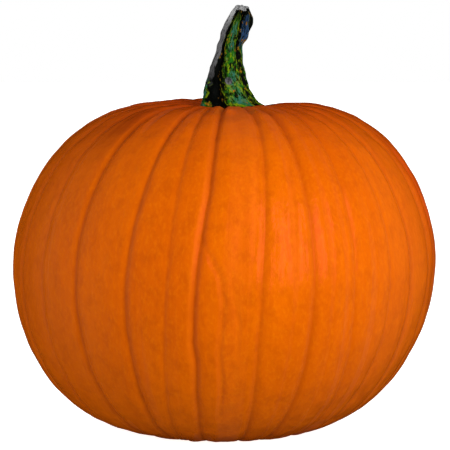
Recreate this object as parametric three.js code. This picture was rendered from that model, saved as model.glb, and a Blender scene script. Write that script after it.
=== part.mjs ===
// A ripe carving pumpkin standing on its flattened base, with its cut stem.
// Millimetres, +Z up. The origin is on the ground under the middle of the fruit and the front faces -Y.
// Azimuths are in degrees around the fruit, from the front (-Y) towards the right (+X).
import * as THREE from 'three';
import { mergeVertices } from 'three/addons/utils/BufferGeometryUtils.js';

// The fruit's plain profile, before its lobes: rounder powers make fuller shoulders.
const WIDEST_RADIUS = 150;
const WIDEST_HEIGHT = 117.8;
const CROWN_RISE = 131.8;
const CROWN_POWER = 1.075;
const CROWN_FULLNESS = 0.85;
const BASE_DROP = 128.6;
const BASE_POWER = 1.034;
const BASE_FULLNESS = 0.706;
const DEPTH_SHARE = 0.97; // front to back over side to side
const LEAN = 0.0276; // sideways run to the right per millimetre of height

// Hollows sunk into both ends around the axis: depth and radius of a bell-shaped dip.
const CROWN_HOLLOWS = [[19.7, 82], [7, 28]];
const BASE_HOLLOWS = [[9.5, 74], [6, 22]];

// A low saddle in the rim of the crown, behind the stem and to its right.
const SADDLE = { depth: 7, azimuth: 145, spread: 27, radius: 46 };

// Lobes bulge between creases. A crease runs from the crown over the waist to the base.
const LOBE_DEPTH = 1.9; // of a full crease below the lobes beside it, where lobes are LOBE_PITCH wide
const LOBE_PITCH = 36;
const END_DEEPENING = 0.5; // share by which the creases deepen from the waist to both ends
const LOBE_ROUNDNESS = 3.2; // a higher power makes flatter lobes with tighter creases
const FRONT_CREASES = [
  { crown: -57, waist: -54, base: -53, depth: 0.4 },
  { crown: -40.5, waist: -41.2, base: -36.5, depth: 0.9 },
  { crown: -21.8, waist: -25.4, base: -22.5, depth: 0.9 },
  { crown: -14, waist: -14.6, base: -18, depth: 0.45 },
  { crown: -3.8, waist: -6.8, base: -7.2, depth: 1.3 },
  { crown: 13.7, waist: 9.6, base: 10.7, depth: 0.8 },
  { crown: 22.4, waist: 22.8, base: 22.2, depth: 0.9 },
  { crown: 35.8, waist: 34.8, base: 39.5, depth: 0.5 },
  { crown: 44.5, waist: 47.2, base: 45.5, depth: 0.45 },
  { crown: 54.5, waist: 57.2, base: 58, depth: 0.75 },
];
const BACK_LOBES = 17;
const SEED = 4211;

// Slow swells that leave the fruit a little out of round: waves around it, height and phase.
const SWELLS = [[2, 0.7, 130], [3, 0.6, 155], [5, 0.4, 80]];

// Facets: rows from crown to base, closer together at both ends, and columns across a lobe.
const FRUIT_ROWS = 42;
const ROW_CROWDING = 0.55;
const LOBE_COLUMNS = [0, 0.15, 0.5, 0.85];

// The stem: rings of [height, place to the right, radius over the ridges], from the foot up to the cut.
const STEM_RINGS = [
  [225, 7.6, 27.6], [230, 4.2, 22.2], [235, 3.6, 18.9], [242, 2.9, 16.4], [252, 2.7, 13.4], [263, 3.6, 9.9],
  [271, 4.6, 8.8], [279, 8, 10.2], [286, 10.9, 10.2], [291.5, 12.7, 8.3], [295, 13.1, 5.8],
];
const STEM_RIDGES = 5;
const RIDGE_DEPTH = 0.36; // valleys between the ridges, as a share of the ring's radius
const VALLEY_SHARPNESS = 0.55; // a lower power makes broader ridges with tighter valleys
const FIRST_RIDGE = 22; // angle of a ridge before it is turned, measured from +X towards +Y
// Degrees at even steps from foot to cut: how far the ridges turn, and how much the broad one spreads.
const STEM_TWIST = [-13.5, -20, -27.5, -37, -53, -52];
const BROADENING = [12, 16, 19, 6, -12, -14];
const BROAD_RIDGE = 4; // counted from the first, which is 0
const TOE_REACH = 2.5; // how much further the right toe runs out than the left one
const CUT_TILT = new THREE.Vector3(0.2, 0.3, 0.93).normalize(); // the way the cut end faces
const CUT_STEPS = [[0.9, 1.6], [0.7, 2.8], [0.45, 3.1], [0.22, 2.6]]; // share of radius, rise of the cut rows
const CUT_HOLLOW = 2.2; // rise of the cut's middle
const STEM_COLUMNS = 40;
const STEM_ROWS = 22;
const FOOT_STEPS = [0.3, 0.6, 0.85]; // rows under the foot, as shares of its outline
const STEM_GAP = 0.35; // between the stem's foot and the rind

const radians = THREE.MathUtils.degToRad;

// One crease as azimuth terms: middle + tilt * cos(u) + bow * sin(u)^2, u running from crown to base.
function creaseOf({ crown, waist, base, depth }) {
  const middle = (crown + base) / 2;
  return { middle: radians(middle), tilt: radians((crown - base) / 2), bow: radians(waist - middle), depth };
}

function creaseAzimuth(crease, u) {
  return crease.middle + crease.tilt * Math.cos(u) + crease.bow * Math.sin(u) ** 2;
}

// The creases that can be seen from the front, then seeded ones at uneven spacing around the back.
function creaseRing() {
  let seed = SEED;
  const random = () => {
    seed = (seed * 16807) % 2147483647;
    return seed / 2147483647;
  };
  const spans = Array.from({ length: BACK_LOBES }, () => 0.75 + 0.5 * random());
  const whole = spans.reduce((sum, span) => sum + span, 0);
  const start = FRONT_CREASES.at(-1).waist;
  const backArc = 360 + FRONT_CREASES[0].waist - start;
  const back = [];
  let waist = start;
  for (const span of spans.slice(0, -1)) {
    waist += (backArc * span) / whole;
    const crown = waist + 4 * (random() - 0.5);
    const base = waist + 5 * (random() - 0.5);
    back.push({ crown, waist, base, depth: 0.65 + 0.5 * random() });
  }
  return [...FRONT_CREASES, ...back].map(creaseOf);
}

const CREASES = creaseRing();

function wrapped(angle) {
  return THREE.MathUtils.euclideanModulo(angle, 2 * Math.PI);
}

function signedTurn(angle) {
  return wrapped(angle + Math.PI) - Math.PI;
}

// The dip of a hollow at a radius, falling to nothing at the widest ring.
function dip([depth, spread], radius) {
  return depth * (Math.exp(-((radius / spread) ** 2)) - Math.exp(-((WIDEST_RADIUS / spread) ** 2)));
}

function profileAt(u) {
  const cosine = Math.cos(u);
  const sine = Math.max(Math.sin(u), 0);
  const upper = cosine > 0;
  const radius = WIDEST_RADIUS * sine ** (upper ? CROWN_FULLNESS : BASE_FULLNESS);
  const rise = upper
    ? CROWN_RISE * cosine ** CROWN_POWER - dip(CROWN_HOLLOWS[0], radius) - dip(CROWN_HOLLOWS[1], radius)
    : dip(BASE_HOLLOWS[0], radius) + dip(BASE_HOLLOWS[1], radius) - BASE_DROP * (-cosine) ** BASE_POWER;
  return new THREE.Vector2(radius, WIDEST_HEIGHT + rise);
}

// How far the rind lies inside the plain profile: nothing on a lobe's middle, all of it in a crease.
function lobeSink(u, azimuth, radius) {
  const count = CREASES.length;
  const angles = CREASES.map((crease) => creaseAzimuth(crease, u));
  const turn = wrapped(azimuth - angles[0]);
  let lobe = count - 1;
  while (lobe > 0 && wrapped(angles[lobe] - angles[0]) > turn) {
    lobe -= 1;
  }
  const creaseDepth = (index) => {
    const before = angles[(index + count - 1) % count];
    const pitch = (wrapped(angles[(index + 1) % count] - before) / 2) * radius;
    return CREASES[index % count].depth * LOBE_DEPTH * Math.sqrt(pitch / LOBE_PITCH);
  };
  const width = wrapped(angles[(lobe + 1) % count] - angles[lobe]);
  const across = wrapped(azimuth - angles[lobe]) / width;
  const depth = THREE.MathUtils.lerp(creaseDepth(lobe), creaseDepth(lobe + 1), across)
    * (1 + END_DEEPENING * Math.cos(u) ** 2);
  return depth * Math.abs(2 * across - 1) ** LOBE_ROUNDNESS;
}

// How far the saddle lowers the crown: most on its own ring, nothing on the axis.
function saddleDrop(radius, azimuth) {
  const ring = (radius / SADDLE.radius) ** 2;
  const turn = signedTurn(azimuth - radians(SADDLE.azimuth)) / radians(SADDLE.spread);
  return SADDLE.depth * (ring * Math.exp(1 - ring)) ** 2 * Math.exp(-(turn ** 2));
}

// A point of the rind: the plain profile, moved along its normal by the lobes and swells, then leaned.
function rindPoint(u, azimuth) {
  const { x: radius, y: height } = profileAt(u);
  const step = 0.002;
  const above = profileAt(Math.max(u - step, 0));
  const below = profileAt(Math.min(u + step, Math.PI));
  const normal = new THREE.Vector2(above.y - below.y, below.x - above.x).normalize();
  const swell = SWELLS.reduce((sum, [waves, rise, phase]) => (
    sum + rise * Math.cos(waves * azimuth - radians(phase))
  ), 0);
  const out = swell * Math.sin(u) ** 2 - lobeSink(u, azimuth, radius);
  const across = Math.max(radius + normal.x * out, 0);
  const z = height + normal.y * out - (Math.cos(u) > 0 ? saddleDrop(radius, azimuth) : 0);
  const x = across * Math.sin(azimuth) + LEAN * (z - WIDEST_HEIGHT);
  return new THREE.Vector3(x, -across * Math.cos(azimuth) * DEPTH_SHARE, Math.max(z, 0));
}

// Height of the lobes' tops in the crown at a place (x, y), where the stem sits on them.
function crownHeight(x, y) {
  const axis = LEAN * (CROWN_RISE - CROWN_HOLLOWS[0][0]);
  const radius = Math.hypot(x - axis, y / DEPTH_SHARE);
  const u = Math.asin(Math.min((radius / WIDEST_RADIUS) ** (1 / CROWN_FULLNESS), 1));
  return profileAt(u).y - saddleDrop(radius, Math.atan2(x - axis, -y / DEPTH_SHARE));
}

// A closed lathe of rows and columns whose points are then moved to place(row, column).
function reshapedLathe(rows, columns, place) {
  const profile = Array.from({ length: rows + 1 }, (_, row) => (
    new THREE.Vector2(Math.sin((Math.PI * row) / rows), -Math.cos((Math.PI * row) / rows))
  ));
  profile[rows].x = 0;
  const geometry = new THREE.LatheGeometry(profile, columns);
  const position = geometry.getAttribute('position');
  for (let column = 0; column <= columns; column += 1) {
    for (let row = 0; row <= rows; row += 1) {
      const point = place(row, column % columns);
      position.setXYZ(column * (rows + 1) + row, point.x, point.y, point.z);
    }
  }
  geometry.deleteAttribute('normal');
  geometry.deleteAttribute('uv');
  const closed = mergeVertices(geometry);
  closed.computeVertexNormals();
  return closed;
}

function fruitGeometry() {
  const across = LOBE_COLUMNS.length;
  const columns = CREASES.length * across;
  return reshapedLathe(FRUIT_ROWS, columns, (row, column) => {
    const t = 1 - row / FRUIT_ROWS;
    const u = Math.PI * (t - (ROW_CROWDING * Math.sin(2 * Math.PI * t)) / (2 * Math.PI));
    const lobe = Math.floor(column / across);
    const from = creaseAzimuth(CREASES[lobe], u);
    const width = wrapped(creaseAzimuth(CREASES[(lobe + 1) % CREASES.length], u) - from);
    return rindPoint(u, from + width * LOBE_COLUMNS[column % across]);
  });
}

// Radius of the stem's section at a turn around it, as a share of the radius over the ridges.
function ridgeShare(turn) {
  const ridge = ((1 + Math.cos(STEM_RIDGES * turn)) / 2) ** VALLEY_SHARPNESS;
  return 1 - RIDGE_DEPTH * (1 - ridge);
}

// A smooth curve through numbers at even steps, as a function of the share of the way along them.
function curveThrough(values) {
  const curve = new THREE.SplineCurve(values.map((value, index) => new THREE.Vector2(index, value)));
  return (share) => curve.getPoint(share).y;
}

function stemGeometry() {
  const centres = new THREE.CatmullRomCurve3(STEM_RINGS.map(([height, right]) => (
    new THREE.Vector3(right, 0, height)
  )));
  const radiusAt = curveThrough(STEM_RINGS.map(([, , radius]) => radius));
  const twistAt = curveThrough(STEM_TWIST);
  const broadeningAt = curveThrough(BROADENING);
  const spacing = (2 * Math.PI) / STEM_RIDGES;
  const upright = new THREE.Vector3(0, 0, 1);

  // A point on the ring at share t of the stem's height, scaled in the ring's plane and lifted off it.
  const ringPoint = (t, column, scale, lift) => {
    const turn = (2 * Math.PI * column) / STEM_COLUMNS;
    const push = Math.sin(turn - BROAD_RIDGE * spacing) / Math.sin(spacing / 2);
    const angle = turn + radians(FIRST_RIDGE + twistAt(t) + broadeningAt(t) * push);
    const facing = upright.clone().lerp(CUT_TILT, t ** 2).normalize();
    const right = new THREE.Vector3(1, 0, 0).addScaledVector(facing, -facing.x).normalize();
    const back = new THREE.Vector3().crossVectors(facing, right);
    const toe = TOE_REACH * Math.cos(angle) * Math.exp(-t * 14);
    const radius = (radiusAt(t) * ridgeShare(turn) + toe) * scale;
    const point = centres.getPoint(t);
    point.addScaledVector(right, radius * Math.cos(angle));
    point.addScaledVector(back, radius * Math.sin(angle));
    point.addScaledVector(facing, lift);
    point.z = Math.max(point.z, crownHeight(point.x, point.y) + STEM_GAP);
    return point;
  };
  const rings = [
    [0, 0, -5],
    ...FOOT_STEPS.map((share) => [0, share, -5]),
    ...Array.from({ length: STEM_ROWS + 1 }, (_, row) => [(row / STEM_ROWS) ** 1.2, 1, row === 0 ? -5 : 0]),
    ...CUT_STEPS.map(([share, rise]) => [1, share, rise]),
    [1, 0, CUT_HOLLOW],
  ];
  return reshapedLathe(rings.length - 1, STEM_COLUMNS, (row, column) => {
    const [t, scale, lift] = rings[row];
    return ringPoint(t, column, scale, lift);
  });
}

function piece(name, geometry, material) {
  const mesh = new THREE.Mesh(geometry, new THREE.MeshStandardMaterial(material));
  mesh.name = name;
  return mesh;
}

const pumpkin = new THREE.Group();
pumpkin.add(piece('fruit', fruitGeometry(), { color: 0xe06a08, roughness: 0.42, metalness: 0 }));
pumpkin.add(piece('stem', stemGeometry(), { color: 0x3f5a1e, roughness: 0.8, metalness: 0 }));

export default pumpkin;
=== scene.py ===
import math

import bmesh
import bpy
import numpy as np
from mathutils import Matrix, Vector, noise


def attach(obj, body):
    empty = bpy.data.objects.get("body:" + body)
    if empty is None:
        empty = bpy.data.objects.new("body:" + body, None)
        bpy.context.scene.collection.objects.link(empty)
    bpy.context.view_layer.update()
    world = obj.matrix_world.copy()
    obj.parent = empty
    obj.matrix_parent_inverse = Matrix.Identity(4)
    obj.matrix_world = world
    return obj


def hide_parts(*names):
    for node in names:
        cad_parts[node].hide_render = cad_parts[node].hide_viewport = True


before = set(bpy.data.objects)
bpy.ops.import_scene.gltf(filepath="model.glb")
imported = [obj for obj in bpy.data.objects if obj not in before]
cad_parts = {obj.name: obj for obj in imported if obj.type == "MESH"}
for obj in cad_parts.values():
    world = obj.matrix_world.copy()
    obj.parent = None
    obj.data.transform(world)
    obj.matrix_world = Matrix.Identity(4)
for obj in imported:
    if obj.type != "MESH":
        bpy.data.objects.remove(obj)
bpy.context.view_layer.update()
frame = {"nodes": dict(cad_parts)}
print("frame loaded:", ", ".join(frame["nodes"]))

# everything is in metres, +Z up, the front faces -Y
# azimuths run in degrees around the fruit, from the front towards the right (+X)


def turned(angle):
    return np.mod(angle, 2 * math.pi)


def signedTurn(angle):
    return turned(angle + math.pi) - math.pi


def smoothStep(low, high, value):
    t = np.clip((value - low) / (high - low), 0, 1)
    return t * t * (3 - 2 * t)


def valueAlong(path, down):
    # a value at each share of the way down, from (share, value) pairs
    return np.interp(down, [share for share, _ in path], [value for _, value in path])


def grain(points, scale, seed):
    # soft noise around 0, one value per point, in lumps about 1 / scale wide
    offset = Vector((seed * 7.3, seed * -3.1, seed * 5.7))
    return np.array([noise.noise(Vector(p) * scale + offset) for p in points])


def roundBall(columns, rows):
    # a ball rolled up from a grid, with each vertex's column number and share of the way down
    ball = bmesh.new()
    bmesh.ops.create_grid(ball, x_segments=columns, y_segments=rows, size=1)
    for vertex in ball.verts:
        azimuth = math.pi * (vertex.co.x + 1)
        fromTop = math.pi / 2 * (1 - vertex.co.y)
        ring = math.sin(fromTop)
        vertex.co = (math.sin(azimuth) * ring, -math.cos(azimuth) * ring, math.cos(fromTop))
    bmesh.ops.remove_doubles(ball, verts=ball.verts, dist=1e-5)
    places = np.array([v.co for v in ball.verts])
    azimuth = turned(np.arctan2(places[:, 0], -places[:, 1]))
    column = np.rint(azimuth / (2 * math.pi / columns)).astype(int) % columns
    down = np.rint(np.arccos(np.clip(places[:, 2], -1, 1)) / math.pi * rows) / rows
    return ball, column, down


def pieceFrom(ball, name, points):
    for vertex, point in zip(ball.verts, points):
        vertex.co = point
    bmesh.ops.recalc_face_normals(ball, faces=ball.faces)
    mesh = bpy.data.meshes.new(name)
    ball.to_mesh(mesh)
    ball.free()
    mesh.shade_smooth()
    piece = bpy.data.objects.new(name, mesh)
    bpy.context.scene.collection.objects.link(piece)
    return piece


def storeFloat(piece, name, values):
    layer = piece.data.attributes.new(name, "FLOAT", "POINT")
    layer.data.foreach_set("value", np.ascontiguousarray(values, dtype=np.float32))


def storeVector(piece, name, values):
    layer = piece.data.attributes.new(name, "FLOAT_VECTOR", "POINT")
    layer.data.foreach_set("vector", np.ascontiguousarray(values, dtype=np.float32).ravel())


def startMaterial(name):
    material = bpy.data.materials.new(name)
    material.use_nodes = True
    return material, material.node_tree, material.node_tree.nodes["Principled BSDF"]


def addNode(tree, kind, settings=None, **inputs):
    node = tree.nodes.new(kind)
    for key, value in (settings or {}).items():
        setattr(node, key, value)
    for key, value in inputs.items():
        # a socket goes by its name, or by its number after an underscore
        name = key.replace("_", " ")
        socket = node.inputs[name] if name in node.inputs else node.inputs[int(key[1:])]
        if hasattr(value, "is_output"):
            tree.links.new(value, socket)
        else:
            socket.default_value = value
    return node


def attribute(tree, name, output="Fac"):
    return addNode(tree, "ShaderNodeAttribute", {"attribute_name": name}).outputs[output]


def noiseOf(tree, vector, scale, detail, roughness):
    return addNode(tree, "ShaderNodeTexNoise", Vector=vector, Scale=scale, Detail=detail,
                   Roughness=roughness).outputs["Fac"]


def remap(tree, value, fromLow, fromHigh, toLow=0.0, toHigh=1.0):
    return addNode(tree, "ShaderNodeMapRange", {"interpolation_type": "SMOOTHSTEP"}, Value=value,
                   From_Min=fromLow, From_Max=fromHigh, To_Min=toLow, To_Max=toHigh).outputs["Result"]


def mathOf(tree, operation, first, second):
    return addNode(tree, "ShaderNodeMath", {"operation": operation}, _0=first, _1=second).outputs[0]


def times(tree, first, second):
    return mathOf(tree, "MULTIPLY", first, second)


def mixColour(tree, factor, first, second):
    node = tree.nodes.new("ShaderNodeMix")
    node.data_type = "RGBA"
    for index, value in ((0, factor), (6, first), (7, second)):
        if hasattr(value, "is_output"):
            tree.links.new(value, node.inputs[index])
        else:
            node.inputs[index].default_value = value if index == 0 else (*value, 1)
    return node.outputs[2]


def stretched(tree, vector, scale):
    return addNode(tree, "ShaderNodeMapping", Vector=vector, Scale=scale).outputs["Vector"]


def relief(tree, height, strengthAndDepth, under=None):
    strength, depth = strengthAndDepth
    below = {} if under is None else {"Normal": under}
    return addNode(tree, "ShaderNodeBump", Height=height, Strength=strength, Distance=depth,
                   **below).outputs["Normal"]


fruitSettings = {
    "widestRadius": 0.150,
    "widestHeight": 0.1178,
    "crownRise": 0.1318,
    "crownPower": 1.075,
    "crownFullness": 0.85,
    "baseDrop": 0.1286,
    "basePower": 1.034,
    "baseFullness": 0.706,
    "depthShare": 0.97,           # front to back over side to side
    "lean": 0.0276,               # sideways run to the right per metre of height
    "crownHollows": [(0.0197, 0.082), (0.007, 0.028)],    # depth and radius of bell-shaped dips
    "baseHollows": [(0.0095, 0.074), (0.006, 0.022)],
    "saddle": {"depth": 0.007, "azimuth": 145, "spread": 27, "radius": 0.046},
    "crest": {"rise": 0.0018, "azimuth": -156, "spread": 24, "radius": 0.078, "width": 0.03},
    "lobeDepth": 0.0010,          # how far a lobe as wide as lobePitch drops at a crease of depth 1
    "lobePitch": 0.036,
    "endDeepening": 0.5,          # how much deeper that is at the crown and the base
    "crownGroove": 2.3,           # how much deeper the grooves are at the crown than at the waist
    "lobeRoundness": 3.0,         # a higher power makes flatter lobes with tighter creases
    # azimuth at the crown, the waist and the base, and depth
    "frontCreases": [
        (-57, -54, -53, 0.5), (-40.5, -41.2, -36.5, 1.0), (-21.8, -25.4, -22.5, 0.95),
        (-14, -14.6, -18, 0.6), (-3.8, -6.8, -7.2, 1.3), (13.7, 9.6, 10.7, 0.8), (22.4, 22.8, 22.2, 0.9),
        (35.8, 34.8, 39.5, 0.5), (44.5, 47.2, 45.5, 0.45), (54.5, 57.2, 58, 0.75),
    ],
    # bends and shallow stretches of a crease: share from crown to base, and degrees or share of its depth
    "bends": {4: [(0.25, 0), (0.37, 0.7), (0.45, -0.2), (0.5, -0.5), (0.57, -0.7), (0.6, 0.3), (0.7, 0.2),
                  (0.8, 0)]},
    "shallows": {4: [(0, 0.75), (0.22, 0.8), (0.34, 1), (0.6, 1), (0.72, 0.65), (1, 0.55)]},
    # shallow wrinkles that run down part of the way: their path as azimuth and share from crown to base,
    # then their depth as a share of grooveDepth
    "wrinkles": [
        ([(-35.3, 0.03), (-35.3, 0.2), (-34.8, 0.28)], 0.9),
        ([(19.2, 0.33), (18.6, 0.38), (17.4, 0.43), (16.9, 0.49)], 0.5),
        ([(-6.4, 0.43), (-3.9, 0.449), (-0.8, 0.481), (0.1, 0.52), (-0.3, 0.551), (-0.9, 0.585),
          (0, 0.62), (0.3, 0.651), (-0.8, 0.73)], 1.4),
        ([(2.6, 0.5), (3.9, 0.546), (3.2, 0.61)], 0.9),
        ([(28.5, 0.04), (29, 0.16), (29.6, 0.24)], 0.5),
        ([(4.5, 0.03), (5, 0.1), (4.2, 0.2)], 0.4),
    ],
    "crownWrinkles": 15,          # more of them, drawn at random around the back of the crown
    "baseWrinkles": 20,
    "wrinkleWidth": 0.0021,
    "girth": 0.39,                # length down the rind from crown to base
    # azimuth, share from crown to base, size and rise
    "pimples": [(3.0, 0.51, 0.0012, 0.00035), (0.9, 0.165, 0.0045, 0.0011)],
    "morePimples": (16, 0.0012, 0.00035),
    "backLobes": 17,
    "sideQuiet": 0.55,            # creases next to the front ones are fainter
    "seed": 4211,
    "swells": [(2, 0.0007, 130), (3, 0.0006, 155), (5, 0.0004, 80)],    # waves around, height, phase
    "rows": 236,
    "rowCrowding": 0.3,           # how far the rows gather at the crown and the base
    "frontColumnPitch": (0.7, 0.6, 0.62, 0.55, 0.36, 0.34, 0.36, 0.6, 0.6),     # degrees, lobe by lobe
    "backLobeColumns": 11,
    "columnCrowding": 0.35,       # how far the columns gather at the creases
    "grooveDepth": 0.0009,        # the narrow cut at the bottom of a crease
    "grooveWidth": 0.0023,
    "grooveFade": 0.05,           # the grooves get shallower inside this radius
    "deepGrooves": (0.13, 0.06),  # radii on the crown between which they deepen
    "creaseWander": [(0.35, 6), (0.16, 24)],    # degrees that a crease strays, and turns down its length
    # shallow lines along the lobes: place across the lobe, width, depth; the others are shifted at random
    "frontFlutes": {
        4: [(0.22, 0.003, 0.0002), (0.4, 0.0022, 0.00016), (0.6, 0.006, 0.0012), (0.83, 0.0022, 0.00036)],
        5: [(0.2, 0.0016, 0.00014), (0.4, 0.0017, 0.00026), (0.62, 0.0021, 0.0006),
            (0.82, 0.0016, 0.00014)],
        6: [(0.14, 0.0018, 0.00014), (0.42, 0.0024, 0.0005), (0.62, 0.0018, 0.00018),
            (0.8, 0.0024, 0.0005)],
        7: [(0.2, 0.0018, 0.00016), (0.5, 0.003, 0.0003)],
    },
    "otherFlutes": [(0.24, 0.003, 0.00016), (0.5, 0.0034, 0.00018), (0.76, 0.003, 0.00016)],
    "fluteShift": 0.09,
    "fluteStrength": (0.4, 1.2),  # how much a flute fades and grows along its length
    "skinLumps": [(0.0007, 26), (0.00055, 85), (0.0002, 190)],    # height and lumps per metre
    # patches of other colour: azimuth and share from crown to base, and how far they spread in each
    # the first two tan patches, at the front left of the crown, are painted shade; the other two are tan
    "tanAndShadePatches": [(-48, 0.225, 9, 0.065), (-22, 0.12, 7, 0.03), (160, 0.2, 12, 0.05),
                   (-156, 0.24, 16, 0.05)],
    # a painted rim glow on the right shoulder
    "paintedRimGlowPatches": [(77, 0.37, 7, 0.11)],
    # where the shades start and are full, in metres unless they are shares
    "creaseShadow": (0.0026, 0.0013),    # width to the right and the left of a crease
    # the painted highlight on the lip to the left of a crease
    "lipPlace": 0.0028,
    "lipWidth": 0.0014,
    "lipDepth": 1.3,              # only a crease as deep as this has a full lip
    "dullFlutes": (0.00012, 0.00036),
    "dullWrinkles": (0.00005, 0.0003),
    "dullLip": 0.7,
    # the crown and the base are darker and redder: partly the rind's own tone, partly painted shade
    "crownShade": (0.15, 0.035),  # radius
    # painted light: the crown's painted shade is weaker at the front, where the key light falls
    "crownLitFront": {"azimuth": 5, "spread": 30, "share": 0.4},
    "baseShade": (0.72, 0.92),    # share from crown to base
    # heights where the painted contact shade and the ground spot start and are full
    "lowShade": (0.018, 0.002),   # height
    "groundSpot": (0.0035, 0.0004),
    "colours": {                  # linear red, green and blue
        "deep": (0.41, 0.066, 0.0002),
        "bright": (0.46, 0.081, 0.0002),
        # creaseShade is the painted shade in the creases, and also the tone of the random mottle
        "creaseShade": (0.27, 0.037, 0.0002),
        # darker, redder tone at the crown and the base, partly painted shade
        "endToneAndShade": (0.33, 0.035, 0.0002),
        # painted contact shade
        "lowShade": (0.17, 0.022, 0.0003),
        "groundSpot": (0.50, 0.17, 0.02),
        "speck": (0.56, 0.13, 0.0006),
        # painted highlight on the crease lips
        "paintedLitLip": (0.54, 0.105, 0.0004),
        # tan, and painted shade on the crown's front left
        "tanAndPaintedShade": (0.15, 0.021, 0.0003),
        # painted rim glow
        "paintedRimGlow": (0.50, 0.048, 0.0003),
    },
    "glossTint": (1.0, 0.05, 0.07, 1.0),
    "gloss": 0.22,
    "roughness": (0.17, 0.28),
    "creaseRoughness": 0.2,       # added in the creases, and where the wax is dull
    "dullRoughness": 0.3,
    # noise scales, the first two once around the body and the others per metre
    "broadScale": 2.2,
    "streakScale": 26,
    "mottleScale": 130,
    "fineScale": 480,
    # bump strength and depth in metres
    "streakRelief": (0.3, 0.0006),
    "mottleRelief": (0.5, 0.0007),
    "fineRelief": (0.5, 0.0004),
}


def creaseList(form):
    seed = form["seed"]

    def draw():
        nonlocal seed
        seed = (seed * 16807) % 2147483647
        return seed / 2147483647

    spans = [0.75 + 0.5 * draw() for _ in range(form["backLobes"])]
    front = form["frontCreases"]
    start = front[-1][1]
    backArc = 360 + front[0][1] - start
    creases = list(front)
    waist = start
    for span in spans[:-1]:
        waist += backArc * span / sum(spans)
        crown = waist + 4 * (draw() - 0.5)
        base = waist + 5 * (draw() - 0.5)
        quiet = form["sideQuiet"] if min(waist - start, start + backArc - waist) < 30 else 1
        creases.append((crown, waist, base, quiet * (0.65 + 0.5 * draw())))
    return creases


creases = creaseList(fruitSettings)


def creaseAzimuth(crease, u):
    crown, waist, base, _ = crease
    middle = (crown + base) / 2
    return np.radians(middle + (crown - base) / 2 * np.cos(u) + (waist - middle) * np.sin(u) ** 2)


def dip(hollow, radius, form):
    depth, spread = hollow
    return depth * (np.exp(-(radius / spread) ** 2) - math.exp(-(form["widestRadius"] / spread) ** 2))


def profile(u, form):
    # radius and height of the plain round body, u running from 0 at the crown to pi at the base
    cosine = np.cos(u)
    sine = np.clip(np.sin(u), 0, 1)
    upper = cosine > 0
    radius = form["widestRadius"] * sine ** np.where(upper, form["crownFullness"], form["baseFullness"])
    size = np.abs(cosine)
    crownDips = sum(dip(hollow, radius, form) for hollow in form["crownHollows"])
    baseDips = sum(dip(hollow, radius, form) for hollow in form["baseHollows"])
    top = form["crownRise"] * size ** form["crownPower"] - crownDips
    bottom = baseDips - form["baseDrop"] * size ** form["basePower"]
    return radius, form["widestHeight"] + np.where(upper, top, bottom)


def saddleDrop(radius, azimuth, form):
    saddle = form["saddle"]
    ring = (radius / saddle["radius"]) ** 2
    turn = signedTurn(azimuth - math.radians(saddle["azimuth"])) / math.radians(saddle["spread"])
    return saddle["depth"] * (ring * np.exp(1 - ring)) ** 2 * np.exp(-turn ** 2)


def crestRise(radius, azimuth, form):
    crest = form["crest"]
    turn = signedTurn(azimuth - math.radians(crest["azimuth"])) / math.radians(crest["spread"])
    return crest["rise"] * np.exp(-turn ** 2 - ((radius - crest["radius"]) / crest["width"]) ** 2)


def crownHeight(x, y, form):
    # height of the lobes' tops in the crown, where the stem sits
    axis = form["lean"] * (form["crownRise"] - form["crownHollows"][0][0])
    across = y / form["depthShare"]
    radius = np.hypot(x - axis, across)
    u = np.arcsin(np.clip((radius / form["widestRadius"]) ** (1 / form["crownFullness"]), 0, 1))
    return profile(u, form)[1] - saddleDrop(radius, np.arctan2(x - axis, -across), form)


def fineRelief(form, azimuth, down, radius, draw):
    # depth of the wrinkles and height of the pimples at each point
    wrinkles = list(form["wrinkles"])
    for _ in range(form["crownWrinkles"]):
        place = draw.uniform(70, 290)
        wrinkles.append(([(place, 0.03), (place + draw.uniform(-2, 2), draw.uniform(0.18, 0.34))],
                         draw.uniform(0.4, 0.9)))
    for _ in range(form["baseWrinkles"]):
        place = draw.uniform(0, 360)
        wrinkles.append(([(place, draw.uniform(0.72, 0.8)), (place + draw.uniform(-3, 3), 0.97)],
                         draw.uniform(0.3, 0.8)))
    wrinkled = np.zeros_like(azimuth)
    for path, depth in wrinkles:
        shares = [share for _, share in path]
        middle = np.radians(np.interp(down, shares, [place for place, _ in path]))
        away = signedTurn(azimuth - middle) * radius
        first, last = shares[0], shares[-1]
        fade = smoothStep(first - 0.02, first + 0.03, down) * smoothStep(last, last - 0.07, down)
        wrinkled += depth * form["grooveDepth"] * fade * np.exp(-(away / form["wrinkleWidth"]) ** 2)
    pimpled = np.zeros_like(azimuth)
    more, moreSize, moreRise = form["morePimples"]
    pimples = form["pimples"] + [(draw.uniform(40, 330), draw.uniform(0.25, 0.75), moreSize, moreRise)
                                 for _ in range(more)]
    for place, share, size, rise in pimples:
        sideways = signedTurn(azimuth - math.radians(place)) * radius
        pimpled += rise * np.exp(-(sideways ** 2 + ((down - share) * form["girth"]) ** 2) / size ** 2)
    return wrinkled, pimpled


def patchesOf(patches, azimuth, down):
    shares = [np.exp(-(signedTurn(azimuth - math.radians(place)) / math.radians(spread)) ** 2
                     - ((down - share) / length) ** 2) for place, share, spread, length in patches]
    return np.max(shares, axis=0)


def columnsPerLobe(form):
    waists = [crease[1] for crease in form["frontCreases"]]
    front = [round((right - left) / pitch)
             for left, right, pitch in zip(waists, waists[1:], form["frontColumnPitch"])]
    return np.array(front + [form["backLobeColumns"]] * (len(creases) - len(front)))


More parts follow.
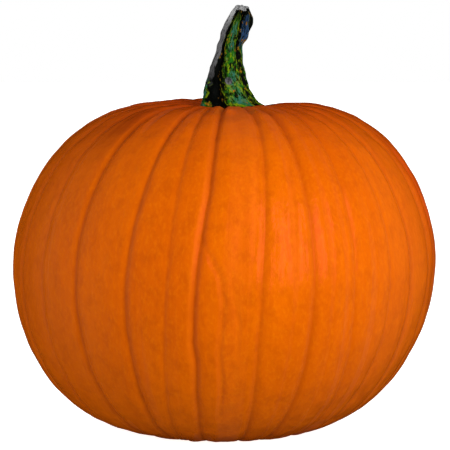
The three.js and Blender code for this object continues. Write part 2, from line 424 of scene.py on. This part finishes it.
def creaseAngles(form, u, down):
    # each crease's azimuth at each point's height, with a little wander of its own
    angles = np.array([creaseAzimuth(crease, u) for crease in creases])
    row = np.rint(down * form["rows"]).astype(int)
    steps = np.linspace(0, 1, form["rows"] + 1)
    for degrees, turns in form["creaseWander"]:
        strays = np.array([[noise.noise(Vector((k * 3.7, turns, step * turns))) for step in steps]
                           for k in range(len(creases))])
        angles = angles + math.radians(degrees) * strays[:, row] * np.sin(u)
    for k, bends in form["bends"].items():
        angles[k] += np.radians(valueAlong(bends, down))
    return angles


def creaseDepths(form, down):
    depths = np.array([crease[3] for crease in creases])[:, None] * np.ones_like(down)
    for k, shallows in form["shallows"].items():
        depths[k] *= valueAlong(shallows, down)
    return depths


def outwardOf(form, u):
    # the way the plain body's surface faces, as a step out and a step up
    nearby = 0.002
    aboveRadius, aboveHeight = profile(np.clip(u - nearby, 0, math.pi), form)
    belowRadius, belowHeight = profile(np.clip(u + nearby, 0, math.pi), form)
    outward = np.stack([aboveHeight - belowHeight, belowRadius - aboveRadius], axis=1)
    return outward / np.linalg.norm(outward, axis=1)[:, None]


def buildFruit(form):
    perLobe = columnsPerLobe(form)
    firstColumn = np.cumsum(perLobe) - perLobe
    ball, column, down = roundBall(perLobe.sum(), form["rows"])
    u = math.pi * (down - form["rowCrowding"] * np.sin(2 * math.pi * down) / (2 * math.pi))
    radius, height = profile(u, form)

    # each column's place between the creases at its left and its right
    angles = creaseAngles(form, u, down)
    vertex = np.arange(len(u))
    lobe = np.searchsorted(firstColumn, column, side="right") - 1
    following = (lobe + 1) % len(creases)
    step = (column - firstColumn[lobe]) / perLobe[lobe]
    across = step - form["columnCrowding"] * np.sin(2 * math.pi * step) / (2 * math.pi)
    left = angles[lobe, vertex]
    width = turned(angles[following, vertex] - left)
    azimuth = left + width * across

    # lobes bulge between creases, and each crease ends in a narrow groove
    depths = creaseDepths(form, down)
    leftDepth, rightDepth = depths[lobe, vertex], depths[following, vertex]
    pitches = turned(np.roll(angles, -1, axis=0) - np.roll(angles, 1, axis=0)) / 2 * radius
    sinks = depths * form["lobeDepth"] * np.sqrt(pitches / form["lobePitch"])
    sinks = sinks * (1 + form["endDeepening"] * np.cos(u) ** 2)
    sink = sinks[lobe, vertex] * (1 - across) + sinks[following, vertex] * across
    sink = sink * np.abs(2 * across - 1) ** form["lobeRoundness"]
    nearLeft = width * across * radius
    nearRight = width * (1 - across) * radius
    narrow = np.clip(radius / form["grooveFade"], 0.25, 1)
    groove = (leftDepth * np.exp(-(nearLeft / form["grooveWidth"]) ** 2)
              + rightDepth * np.exp(-(nearRight / form["grooveWidth"]) ** 2))
    deeper = 1 + (form["crownGroove"] - 1) * smoothStep(*form["deepGrooves"], radius) * (np.cos(u) > 0)
    sink = sink + form["grooveDepth"] * groove * narrow * deeper

    # flutes along the lobes, then wrinkles, pimples and the skin's lumps
    draw = np.random.default_rng(form["seed"])
    flutes = np.zeros_like(u)
    unrolled = np.stack([np.cos(azimuth) * 2.5, np.sin(azimuth) * 2.5, down * 3], axis=1)
    strength = 0.8 + 0.9 * grain(unrolled, 1, 3)
    for k in range(len(creases)):
        inside = lobe == k
        spread = 0.0 if k in form["frontFlutes"] else form["fluteShift"]
        for place, fluteWidth, fluteDepth in form["frontFlutes"].get(k, form["otherFlutes"]):
            middle = place + draw.uniform(-spread, spread) + draw.uniform(-0.05, 0.05) * np.cos(u[inside])
            away = (across[inside] - middle) * width[inside] * radius[inside]
            flutes[inside] += fluteDepth * draw.uniform(0.7, 1.2) * np.exp(-(away / fluteWidth) ** 2)
    flutes = flutes * np.clip(strength, *form["fluteStrength"]) * np.sin(u) ** 0.5
    sink = sink + flutes
    wrinkled, pimpled = fineRelief(form, azimuth, down, radius, draw)
    sink = sink + wrinkled - pimpled
    plain = np.stack([radius * np.sin(azimuth), -radius * np.cos(azimuth), height * 0.45], axis=1)
    for amount, scale in form["skinLumps"]:
        sink = sink + amount * (0.5 - grain(plain, scale, scale)) * np.clip(radius / 0.06, 0, 1)

    # move along the plain body's normal, then lean, and press the base flat
    outward = outwardOf(form, u)
    swell = sum(rise * np.cos(waves * azimuth - math.radians(phase))
                for waves, rise, phase in form["swells"])
    out = swell * np.sin(u) ** 2 - sink
    ring = np.clip(radius + outward[:, 0] * out, 0, None)
    crownShift = crestRise(radius, azimuth, form) - saddleDrop(radius, azimuth, form)
    z = height + outward[:, 1] * out + np.where(np.cos(u) > 0, crownShift, 0)
    x = ring * np.sin(azimuth) + form["lean"] * (z - form["widestHeight"])
    y = -ring * np.cos(azimuth) * form["depthShare"]
    points = np.stack([x, y, np.maximum(z, 0)], axis=1)
    poles = radius < 1e-6
    for end in (down < 0.5, down > 0.5):
        points[poles & end] = points[poles & end].mean(axis=0)

    fruit = pieceFrom(ball, "rind", points)
    # painted shade: a crease darkens the lobe on its right more than the one on its left, and a painted
    # highlight lightens a lip on its left
    shadowRight, shadowLeft = form["creaseShadow"]
    nearDepth = np.where(nearLeft < nearRight, leftDepth, rightDepth)
    storeFloat(fruit, "crease", np.maximum(leftDepth * np.exp(-nearLeft / shadowRight),
                                           rightDepth * np.exp(-nearRight / shadowLeft)))
    # painted highlight: a lighter lip just left of each deep crease
    paintedLitLip = ((rightDepth / form["lipDepth"]) ** 6
           * np.exp(-((nearRight - form["lipPlace"]) / form["lipWidth"]) ** 2))
    storeFloat(fruit, "paintedLitLip", paintedLitLip)
    # the wax is duller down in the flutes and wrinkles
    dull = (smoothStep(*form["dullFlutes"], flutes) + smoothStep(*form["dullWrinkles"], wrinkled)
            + form["dullLip"] * paintedLitLip)
    storeFloat(fruit, "dull", np.clip(dull, 0, 1))
    # painted shade: the lobes darken towards the deeper creases
    storeFloat(fruit, "hollow", nearDepth * np.abs(2 * across - 1) ** 2.5)
    # tan patches, the front ones painted shade on the crown's front left
    storeFloat(fruit, "tanAndPaintedShade", patchesOf(form["tanAndShadePatches"], azimuth, down))
    # painted rim glow on the right shoulder
    storeFloat(fruit, "paintedRimGlow", patchesOf(form["paintedRimGlowPatches"], azimuth, down))
    # darker and redder at the crown and the base, partly painted shade, with less of it at the lit front
    # of the crown
    litFront = form["crownLitFront"]
    fromLitFront = signedTurn(azimuth - math.radians(litFront["azimuth"])) / math.radians(litFront["spread"])
    crown = smoothStep(*form["crownShade"], radius) * (np.cos(u) > 0)
    crown = crown * (1 - litFront["share"] * np.exp(-fromLitFront ** 2))
    storeFloat(fruit, "ends", crown + 0.5 * smoothStep(*form["baseShade"], down))
    # painted contact shade just above the ground
    storeFloat(fruit, "low", smoothStep(*form["lowShade"], z) * (np.cos(u) < 0))
    storeFloat(fruit, "ground", smoothStep(*form["groundSpot"], z) * (np.cos(u) < 0))
    storeVector(fruit, "around", np.stack([np.cos(azimuth), np.sin(azimuth), down], axis=1))
    return fruit


def rindMaterial(form):
    colours = form["colours"]
    material, tree, shader = startMaterial("waxy orange rind")
    around = attribute(tree, "around", "Vector")
    body = addNode(tree, "ShaderNodeTexCoord").outputs["Object"]
    crease = attribute(tree, "crease")
    hollow = attribute(tree, "hollow")

    broad = noiseOf(tree, stretched(tree, around, (1.6, 1.6, 1.2)), form["broadScale"], 2, 0.55)
    streaks = noiseOf(tree, stretched(tree, around, (1, 1, 0.06)), form["streakScale"], 4, 0.65)
    mottle = noiseOf(tree, stretched(tree, body, (1, 1, 0.7)), form["mottleScale"], 4, 0.6)
    fine = noiseOf(tree, stretched(tree, body, (1, 1, 0.6)), form["fineScale"], 2, 0.5)

    colour = mixColour(tree, remap(tree, broad, 0.3, 0.7), colours["deep"], colours["bright"])
    colour = mixColour(tree, remap(tree, streaks, 0.35, 0.75, 0.0, 0.55), colour, colours["deep"])
    colour = mixColour(tree, remap(tree, streaks, 0.45, 0.25, 0.0, 0.35), colour, colours["bright"])
    colour = mixColour(tree, remap(tree, mottle, 0.42, 0.7, 0.0, 0.3), colour, colours["creaseShade"])
    colour = mixColour(tree, remap(tree, fine, 0.4, 0.85, 0.0, 0.3), colour, colours["speck"])
    # painted shade on the lobes towards the creases
    colour = mixColour(tree, times(tree, hollow, 0.12), colour, colours["deep"])
    # painted shade in and beside the creases
    colour = mixColour(tree, times(tree, crease, 0.45), colour, colours["creaseShade"])
    # painted highlight on the crease lips
    colour = mixColour(tree, times(tree, attribute(tree, "paintedLitLip"), 0.3), colour, colours["paintedLitLip"])
    # tan, with painted shade on the crown's front left
    tanAndPaintedShade = times(tree, attribute(tree, "tanAndPaintedShade"), remap(tree, streaks, 0.3, 0.6, 0.35, 1.0))
    colour = mixColour(tree, times(tree, tanAndPaintedShade, 0.85), colour, colours["tanAndPaintedShade"])
    # painted rim glow on the right shoulder, redder and lighter
    paintedRimGlow = times(tree, attribute(tree, "paintedRimGlow"), remap(tree, streaks, 0.3, 0.6, 0.4, 0.8))
    colour = mixColour(tree, paintedRimGlow, colour, colours["paintedRimGlow"])
    # painted shade and redder tone at the crown and the base
    colour = mixColour(tree, times(tree, attribute(tree, "ends"), 0.95), colour, colours["endToneAndShade"])
    # painted contact shade just above the ground
    colour = mixColour(tree, times(tree, attribute(tree, "low"), 0.6), colour, colours["lowShade"])
    ground = times(tree, attribute(tree, "ground"), remap(tree, mottle, 0.25, 0.6, 0.35, 0.95))
    colour = mixColour(tree, ground, colour, colours["groundSpot"])
    tree.links.new(colour, shader.inputs["Base Color"])

    low, high = form["roughness"]
    rough = addNode(tree, "ShaderNodeMapRange", Value=mottle, To_Min=low, To_Max=high).outputs["Result"]
    rough = mathOf(tree, "ADD", rough, times(tree, crease, form["creaseRoughness"]))
    rough = mathOf(tree, "ADD", rough, times(tree, attribute(tree, "dull"), form["dullRoughness"]))
    tree.links.new(rough, shader.inputs["Roughness"])
    shader.inputs["Specular IOR Level"].default_value = form["gloss"]
    shader.inputs["Specular Tint"].default_value = form["glossTint"]

    # streaks, orange-peel grain and fine grain as relief
    skin = relief(tree, streaks, form["streakRelief"])
    skin = relief(tree, mottle, form["mottleRelief"], skin)
    skin = relief(tree, fine, form["fineRelief"], skin)
    tree.links.new(skin, shader.inputs["Normal"])
    return material


fruit = buildFruit(fruitSettings)
fruit.data.materials.append(rindMaterial(fruitSettings))
print("fruit made:", len(fruit.data.polygons), "faces")


stemSettings = {
    # height, place to the right, radius over the ridges, from the foot up to the cut
    "rings": [
        (0.225, 0.0076, 0.0276), (0.230, 0.0042, 0.0222), (0.235, 0.0036, 0.0189),
        (0.242, 0.0029, 0.0164), (0.252, 0.0027, 0.0134), (0.263, 0.0036, 0.0099),
        (0.271, 0.0046, 0.0088), (0.279, 0.008, 0.0102), (0.286, 0.0109, 0.0102),
        (0.2915, 0.0127, 0.0088), (0.295, 0.0131, 0.0066),
    ],
    "ridges": 5,
    "ridgeDepth": 0.36,
    "valleySharpness": 0.55,      # a lower power makes broader ridges with tighter valleys
    "firstRidge": 22,
    # degrees, at even steps from foot to cut: how far the ridges turn, and how much the broad one spreads
    "twist": [-13.5, -20, -27.5, -37, -53, -52],
    "broadening": [12, 16, 19, 6, -12, -14],
    "broadRidge": 4,
    "toeReach": 0.004,            # how much further the root spreads to the right, fading up the stem
    "toeFade": 14,
    "cutTilt": (0.2, 0.3, 0.93),
    # scale and rise, at even steps from the cut's rim to its middle
    "cutEnd": [(1, 0), (0.93, 0.0012), (0.78, 0.0021), (0.5, 0.0024), (0.22, 0.0018), (0, 0.0014)],
    "fibres": [(640, 0.1, 0.0007), (300, 0.2, 0.0007)],    # lumps per metre, stretch, depth
    "corkLumps": (170, 0.0008),   # lumps per metre, depth
    "lumpMiddle": 0.05,           # the noise's level that neither raises nor lowers the surface
    # azimuth, height, size, rise
    "knots": [(-88, 0.2455, 0.0027, 0.0011), (60, 0.25, 0.002, 0.001), (140, 0.262, 0.0016, 0.0008)],
    "corkRidge": 3,               # the ridge that has turned to grey cork, counted from the first
    # where the colours start and are full, as shares of the stem's length
    "corkRise": (0.2, 0.42),
    "corkTip": (0.91, 0.96),
    # painted shade: where the near-black shade starts and is full below the tip, in the valley and on the
    # first ridge
    "shadowTip": (0.84, 0.9),
    "valleyShadowRise": (0.7, 0.5),
    "ridgeShadowRise": (0.5, 0.62),
    # painted sky reflection
    "skyReflectionRise": (0.55, 0.66),
    "barkUnit": 0.0125,           # metres up the stem to one unit of its pattern
    "columns": 240,
    "rows": 260,
    "rowGather": 1.2,             # a higher power puts more rows near the foot
    "footRows": 16,
    "cutRows": 34,
    "seatDepth": 0.0004,          # how far the toes are pressed into the rind
    "colours": {                  # linear red, green and blue
        # near-black: the stem's dark colour, and also its painted shade
        "valley": (0.0010, 0.0014, 0.0010),
        "green": (0.006, 0.024, 0.001),
        "leaf": (0.012, 0.090, 0.003),
        # lighter teal on the ridge crests: partly the stem's colour, partly a painted highlight
        "teal": (0.020, 0.090, 0.065),
        "lime": (0.120, 0.180, 0.001),
        # painted blue sky reflection
        "blue": (0.016, 0.042, 0.100),
        "knot": (0.105, 0.105, 0.108),
        "cork": (0.085, 0.085, 0.087),
        "paleCork": (0.30, 0.30, 0.30),
        "rust": (0.22, 0.10, 0.004),
    },
    "gloss": 0.02,
    "roughness": (0.4, 0.75),
    # noise scales around the stem
    "patchScale": 2.6,
    "fleckScale": 5.5,
    "spotScale": 7.5,
    "fibreScale": 14,
    # bump strength and depth in metres
    "fibreRelief": (0.8, 0.0010),
    "spotRelief": (0.5, 0.0008),
}


def splineThrough(values, share):
    # a Catmull-Rom curve through evenly numbered values
    values = np.array(values)
    last = len(values) - 1
    place = np.clip(share, 0, 1) * last
    index = np.clip(np.floor(place).astype(int), 0, last - 1)
    t = place - index
    before = values[np.clip(index - 1, 0, last)]
    start = values[index]
    end = values[index + 1]
    after = values[np.clip(index + 2, 0, last)]
    slopeIn = (end - before) / 2
    slopeOut = (after - start) / 2
    return (start * (2 * t ** 3 - 3 * t ** 2 + 1) + slopeIn * (t ** 3 - 2 * t ** 2 + t)
            + end * (3 * t ** 2 - 2 * t ** 3) + slopeOut * (t ** 3 - t ** 2))


def colourStem(stem, form, turn, share, ridge):
    # cork on one ridge and around the tip, painted near-black shade beside the cork ridge, on the first
    # ridge's far side and below the tip, and a painted blue sky reflection on the first ridge; the widths
    # across the ridges are in radians
    fromCork = signedTurn(turn - form["corkRidge"] * 2 * math.pi / form["ridges"])
    fromFirst = signedTurn(turn)
    firstEnd = smoothStep(1.3, 1.0, fromFirst)
    firstRidge = smoothStep(-0.4, 0.0, fromFirst) * firstEnd
    beside = smoothStep(-0.15, 0.1, fromFirst) * firstEnd
    atTip = smoothStep(*form["corkTip"], share) * (1 - firstRidge)
    onCork = smoothStep(0.6, 0.42, np.abs(fromCork + 0.1)) * smoothStep(*form["corkRise"], share)
    wideFrom = 0.42 - 0.2 * smoothStep(0.45, 0.15, share)
    inValley = smoothStep(wideFrom - 0.15, wideFrom + 0.1, fromCork) * smoothStep(0.95, 0.75, fromCork)
    # painted shade in the valley beside the cork ridge, on the first ridge's far side and below the tip
    paintedShadow = np.maximum(inValley * smoothStep(*form["valleyShadowRise"], share),
                       beside * smoothStep(*form["ridgeShadowRise"], share))
    paintedShadow = np.maximum(paintedShadow, smoothStep(*form["shadowTip"], share))
    # painted blue sky reflection on the first ridge
    paintedSkyReflection = smoothStep(0.42, 0.2, np.abs(fromFirst + 0.28)) * smoothStep(*form["skyReflectionRise"], share)
    # the ridge mask is dimmed where painted shade falls
    storeFloat(stem, "ridge", ridge * (1 - 0.85 * paintedShadow))
    storeFloat(stem, "cork", np.maximum(onCork, atTip))
    storeFloat(stem, "paintedSkyReflection", paintedSkyReflection)
    storeFloat(stem, "rise", share)


def buildStem(form, fruitForm):
    columns, rows = form["columns"], form["rows"]
    ball, column, down = roundBall(columns, rows)
    row = rows - np.rint(down * rows)    # 0 in the middle of the foot
    footRows, cutRows = form["footRows"], form["cutRows"]
    sideRows = rows - footRows - cutRows
    share = np.clip((row - footRows) / sideRows, 0, 1) ** form["rowGather"]
    footScale = np.clip(row / footRows, 0, 1)
    cutPlace = np.clip((row - footRows - sideRows) / cutRows, 0, 1)
    cutScale = splineThrough([scale for scale, _ in form["cutEnd"]], cutPlace)
    cutLift = splineThrough([rise for _, rise in form["cutEnd"]], cutPlace)

    turn = 2 * math.pi * column / columns
    spacing = 2 * math.pi / form["ridges"]
    fromBroad = turn - form["broadRidge"] * spacing
    broadening = splineThrough(np.radians(form["broadening"]), share)
    broadening = broadening * np.sin(fromBroad) / math.sin(spacing / 2)
    twist = splineThrough(np.radians(form["twist"]), share)
    angle = turn + math.radians(form["firstRidge"]) + twist + broadening
    ridge = ((1 + np.cos(form["ridges"] * turn)) / 2) ** form["valleySharpness"]
    section = 1 - form["ridgeDepth"] * (1 - ridge)

    height = splineThrough([ring[0] for ring in form["rings"]], share)
    right = splineThrough([ring[1] for ring in form["rings"]], share)
    radius = splineThrough([ring[2] for ring in form["rings"]], share)
    toe = form["toeReach"] * np.cos(angle) * np.exp(-share * form["toeFade"])
    reach = radius * section + toe

    # fibres, cork and knots
    plain = np.stack([np.cos(angle) * reach, np.sin(angle) * reach, height], axis=1)
    for number, (scale, stretch, depth) in enumerate(form["fibres"]):
        twisted = np.stack([np.cos(turn) * radius, np.sin(turn) * radius, height * stretch], axis=1)
        reach = reach + depth * (grain(twisted, scale, 5 + number) - form["lumpMiddle"])
    corkScale, corkDepth = form["corkLumps"]
    reach = reach + corkDepth * (grain(plain, corkScale, 8) - form["lumpMiddle"])
    knotted = np.zeros_like(turn)
    for place, knotHeight, size, rise in form["knots"]:
        away = np.hypot(signedTurn(angle - math.radians(place)) * reach, height - knotHeight)
        knotted = np.maximum(knotted, np.exp(-(away / size) ** 4))
        reach = reach + rise * np.exp(-(away / size) ** 4)
    reach = reach * footScale * cutScale

    tilt = Vector(form["cutTilt"]).normalized()
    facing = np.array([0, 0, 1]) + (np.array(tilt) - np.array([0, 0, 1])) * (share ** 2)[:, None]
    facing = facing / np.linalg.norm(facing, axis=1)[:, None]
    rightward = np.array([1, 0, 0]) - facing * facing[:, :1]
    rightward = rightward / np.linalg.norm(rightward, axis=1)[:, None]
    backward = np.cross(facing, rightward)
    centre = np.stack([right, np.zeros_like(right), height], axis=1)
    points = (centre + rightward * (reach * np.cos(angle))[:, None]
              + backward * (reach * np.sin(angle))[:, None] + facing * cutLift[:, None])
    seat = crownHeight(points[:, 0], points[:, 1], fruitForm) - form["seatDepth"]
    onFoot = row <= footRows
    points[:, 2] = np.where(onFoot, seat, np.maximum(points[:, 2], seat))
    for end in (down < 1e-9, down > 1 - 1e-9):
        points[end] = points[end].mean(axis=0)

    stem = pieceFrom(ball, "peduncle", points)
    colourStem(stem, form, turn, share, ridge)
    storeFloat(stem, "knot", knotted)
    storeFloat(stem, "cut", smoothStep(0.02, 0.15, cutPlace))
    storeVector(stem, "bark", np.stack([np.cos(turn), np.sin(turn), height / form["barkUnit"]], axis=1))
    return stem


def stemMaterial(form):
    colours = form["colours"]
    material, tree, shader = startMaterial("dried green stem")
    bark = attribute(tree, "bark", "Vector")
    ridge = attribute(tree, "ridge")
    rise = attribute(tree, "rise")
    patches = noiseOf(tree, stretched(tree, bark, (1, 1, 0.35)), form["patchScale"], 2, 0.5)
    flecks = noiseOf(tree, stretched(tree, bark, (1, 1, 0.5)), form["fleckScale"], 2, 0.55)
    spots = noiseOf(tree, stretched(tree, bark, (1, 1, 0.5)), form["spotScale"], 2, 0.55)
    fibres = noiseOf(tree, stretched(tree, bark, (1, 1, 0.22)), form["fibreScale"], 4, 0.65)

    # greens on the ridges, ragged where they meet the near-black valleys: partly the stem's dark colour,
    # partly painted shade
    ragged = mathOf(tree, "ADD", ridge, remap(tree, flecks, 0.3, 0.7, -0.3, 0.3))
    colour = mixColour(tree, remap(tree, ragged, 0.3, 0.6), colours["valley"], colours["green"])
    colour = mixColour(tree, remap(tree, ragged, 0.55, 0.85), colour, colours["leaf"])
    limes = times(tree, remap(tree, ragged, 0.22, 0.5), remap(tree, spots, 0.5, 0.6))
    colour = mixColour(tree, times(tree, limes, 0.85), colour, colours["lime"])
    # lighter teal on the ridge crests: partly the stem's colour, partly a painted highlight
    crest = times(tree, remap(tree, ridge, 0.72, 0.95), remap(tree, patches, 0.44, 0.54))
    crest = times(tree, crest, remap(tree, fibres, 0.42, 0.58))
    colour = mixColour(tree, crest, colour, colours["teal"])
    # painted blue sky reflection on the first ridge
    skyReflecting = times(tree, attribute(tree, "paintedSkyReflection"), remap(tree, ragged, 0.25, 0.5))
    skyReflecting = times(tree, skyReflecting, remap(tree, fibres, 0.3, 0.5, 0.3, 1.0))
    colour = mixColour(tree, skyReflecting, colour, colours["blue"])
    rusts = times(tree, remap(tree, ragged, 0.15, 0.35), remap(tree, flecks, 0.62, 0.68))
    colour = mixColour(tree, rusts, colour, colours["rust"])
    colour = mixColour(tree, remap(tree, fibres, 0.53, 0.41, 0.0, 0.97), colour, colours["valley"])
    # painted shade: darker towards the tip
    colour = mixColour(tree, remap(tree, rise, 0.7, 0.88, 0.0, 0.5), colour, colours["valley"])

    # grey cork on one ridge, on the knots and over the tip
    corkTone = mixColour(tree, remap(tree, rise, 0.68, 1.0), colours["cork"], colours["paleCork"])
    corkTone = mixColour(tree, remap(tree, fibres, 0.52, 0.36, 0.0, 0.75), corkTone, colours["valley"])
    corkTone = mixColour(tree, remap(tree, rise, 0.5, 0.3, 0.0, 0.85), corkTone, colours["valley"])
    raggedCork = mathOf(tree, "ADD", attribute(tree, "cork"), remap(tree, flecks, 0.3, 0.7, -0.25, 0.25))
    colour = mixColour(tree, remap(tree, raggedCork, 0.4, 0.62), colour, corkTone)
    dark = remap(tree, fibres, 0.6, 0.4, 0.0, 0.8)
    knotTone = mixColour(tree, dark, colours["knot"], colours["valley"])
    colour = mixColour(tree, remap(tree, attribute(tree, "knot"), 0.25, 0.7), colour, knotTone)
    cutTone = mixColour(tree, remap(tree, spots, 0.4, 0.6), colours["cork"], colours["paleCork"])
    colour = mixColour(tree, attribute(tree, "cut"), colour, cutTone)
    tree.links.new(colour, shader.inputs["Base Color"])

    low, high = form["roughness"]
    rough = addNode(tree, "ShaderNodeMapRange", Value=fibres, To_Min=low, To_Max=high).outputs["Result"]
    tree.links.new(rough, shader.inputs["Roughness"])
    shader.inputs["Specular IOR Level"].default_value = form["gloss"]
    barkRelief = relief(tree, spots, form["spotRelief"], relief(tree, fibres, form["fibreRelief"]))
    tree.links.new(barkRelief, shader.inputs["Normal"])
    return material


stem = buildStem(stemSettings, fruitSettings)
stem.data.materials.append(stemMaterial(stemSettings))
print("stem made:", len(stem.data.polygons), "faces")

for piece, node, slotName in ((fruit, "fruit", "rind"), (stem, "stem", "stem")):
    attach(piece, "root")
    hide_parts(node)


studioSettings = {
    "floorSize": 12.0,
    "floorDrop": 0.0002,          # keeps it clear of the fruit's base
    "floorColour": (0.95, 0.95, 0.95),
    "floorGlow": 0.9,             # a sweep lit from below, so that it shows white
    "surround": 0.26,             # even light from all around
    # wide soft lights far off, not mirrored in the wax: azimuth, elevation, strength
    "farLights": [(-72, 2, 2.2), (105, -8, 1.25), (0, 8, 0.34), (180, 15, 0.7)],
    "farFocus": 3,                # a higher power makes them narrower
    "keyLight": {"azimuth": 32, "elevation": 17, "distance": 0.72, "size": (0.36, 0.5), "power": 6.5,
                 "mirrored": True},
    "rimLight": {"azimuth": -166, "elevation": 16, "distance": 1.3, "size": (0.3, 0.5), "power": 2.6,
                 "mirrored": False},
    "aim": (0.0, 0.0, 0.145),
    "cameraDistance": 1.2,
    "cameraHeight": 0.2927,
    "cameraRight": 0.00075,
    "cameraPitch": 0.1241,        # radians below level
    "lens": 135.7,
}


def layFloor(look):
    slab = bmesh.new()
    bmesh.ops.create_grid(slab, x_segments=1, y_segments=1, size=look["floorSize"] / 2)
    mesh = bpy.data.meshes.new("studio floor")
    slab.to_mesh(mesh)
    slab.free()
    floor = bpy.data.objects.new("studioFloor", mesh)
    floor.location.z = -look["floorDrop"]
    bpy.context.scene.collection.objects.link(floor)
    material, _, shader = startMaterial("plain pale floor")
    shader.inputs["Base Color"].default_value = (*look["floorColour"], 1)
    shader.inputs["Roughness"].default_value = 0.9
    shader.inputs["Specular IOR Level"].default_value = 0.1
    shader.inputs["Emission Color"].default_value = (1, 1, 1, 1)
    shader.inputs["Emission Strength"].default_value = look["floorGlow"]
    mesh.materials.append(material)
    floor.visible_diffuse = False
    floor.visible_glossy = False
    floor.visible_shadow = False


def towards(azimuth, elevation):
    around, above = math.radians(azimuth), math.radians(elevation)
    level = math.cos(above)
    return Vector((math.sin(around) * level, -math.cos(around) * level, math.sin(above)))


def hangSoftbox(name, look, aim):
    light = bpy.data.lights.new(name, "AREA")
    light.shape = "RECTANGLE"
    light.size, light.size_y = look["size"]
    light.energy = look["power"]
    toLight = towards(look["azimuth"], look["elevation"])
    lamp = bpy.data.objects.new(name, light)
    lamp.location = Vector(aim) + toLight * look["distance"]
    lamp.rotation_euler = toLight.to_track_quat("Z", "Y").to_euler()
    lamp.visible_glossy = look["mirrored"]
    bpy.context.scene.collection.objects.link(lamp)


def lightStudio(look):
    world = bpy.data.worlds.new("white studio")
    world.use_nodes = True
    tree = world.node_tree
    direction = addNode(tree, "ShaderNodeTexCoord").outputs["Generated"]
    light = look["surround"]
    for azimuth, elevation, strength in look["farLights"]:
        facing = addNode(tree, "ShaderNodeVectorMath", {"operation": "DOT_PRODUCT"}, _0=direction,
                         _1=towards(azimuth, elevation)).outputs["Value"]
        lobe = mathOf(tree, "POWER", mathOf(tree, "MAXIMUM", facing, 0.0), look["farFocus"])
        light = mathOf(tree, "ADD", light, times(tree, lobe, strength))
    ray = addNode(tree, "ShaderNodeLightPath")      # the camera sees a plain white backdrop
    light = addNode(tree, "ShaderNodeMix", _0=ray.outputs["Is Camera Ray"], _2=light, _3=1.0).outputs[0]
    tree.links.new(light, tree.nodes["Background"].inputs["Strength"])
    tree.nodes["Background"].inputs["Color"].default_value = (1, 1, 1, 1)
    world.cycles_visibility.glossy = False
    bpy.context.scene.world = world
    hangSoftbox("keySoftbox", look["keyLight"], look["aim"])
    hangSoftbox("rimSoftbox", look["rimLight"], look["aim"])


def placeCamera(look):
    camera = bpy.data.cameras.new("camera")
    camera.lens = look["lens"]
    camera.sensor_width = 36
    viewer = bpy.data.objects.new("camera", camera)
    viewer.location = (look["cameraRight"], -look["cameraDistance"], look["cameraHeight"])
    viewer.rotation_euler = (math.pi / 2 - look["cameraPitch"], 0, 0)
    bpy.context.scene.collection.objects.link(viewer)
    bpy.context.scene.camera = viewer


layFloor(studioSettings)
lightStudio(studioSettings)
placeCamera(studioSettings)
bpy.context.scene.view_settings.view_transform = "Standard"
print("studio made")
